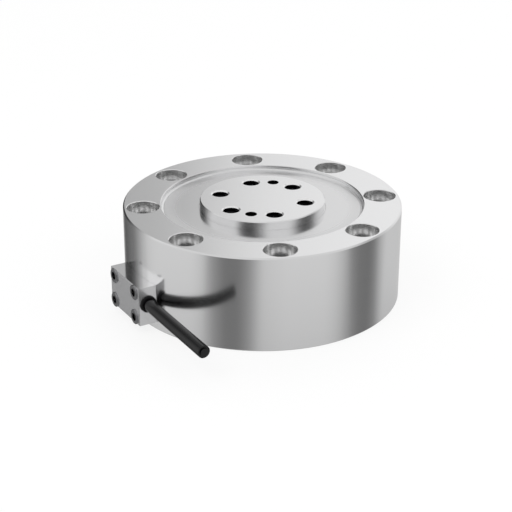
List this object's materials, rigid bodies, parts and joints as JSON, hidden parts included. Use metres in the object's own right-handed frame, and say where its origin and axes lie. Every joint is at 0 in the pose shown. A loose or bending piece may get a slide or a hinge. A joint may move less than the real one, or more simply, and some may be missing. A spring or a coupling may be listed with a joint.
{
  "type": "force torque sensor",
  "caption": "Round multi-axis force torque sensor: counterbored ring flange, raised tool hub on strain-gauged beams, side cable box.",
  "frame": {"origin": "on the axis of the ring, in the plane of its base, at the centre of the circle of ring bolt holes", "axes": "+Z along the ring's axis, from the base to the tool hub; +Y through one of the two dowel holes; the cable box faces -X -Y"},
  "size_m": [0.12, 0.1497, 0.0431],
  "materials": {
    "machined_steel": "fine turned stainless steel, close to a mirror",
    "box_steel": "fine milled stainless steel",
    "cover_steel": "fine turned stainless steel",
    "screw_steel": "stainless screws, satin",
    "seal_rubber": "black rubber, matte",
    "cable_jacket": "dark grey cable jacket, satin",
    "wire_insulation": "coloured wire insulation",
    "duct_plastic": "black plastic bush",
    "board_laminate": "green circuit board with solder mask",
    "standoff_brass": "turned brass",
    "chip_plastic": "black moulded chip body",
    "capacitor_ceramic": "tan ceramic",
    "header_plastic": "ivory nylon",
    "gauge_film": "amber polyimide film"
  },
  "bodies": {
    "root": {"sensor_body": "machined_steel", "top_seal_plate": "machined_steel", "bottom_cover": "cover_steel", "bottom_cover_screws": "screw_steel", "bottom_sealing_ring": "seal_rubber", "cable_box": "box_steel", "cable_box_screws": "screw_steel", "cable_sleeve": "seal_rubber", "cable": "cable_jacket", "cable_tail": "cable_jacket", "core_bundle": "wire_insulation", "duct_bush": "duct_plastic", "circuit_board": "board_laminate", "board_standoffs": "standoff_brass", "board_screws": "screw_steel", "amplifier_chips": "chip_plastic", "controller_chip": "chip_plastic", "chip_capacitors": "capacitor_ceramic", "cable_header": "header_plastic", "cable_plug": "header_plastic", "gauges_beam_1": "gauge_film", "gauges_beam_2": "gauge_film", "gauges_beam_3": "gauge_film", "gauges_beam_4": "gauge_film", "gauge_leads_1": "wire_insulation", "gauge_leads_2": "wire_insulation", "gauge_leads_3": "wire_insulation", "gauge_leads_4": "wire_insulation"}
  },
  "joints": []
}
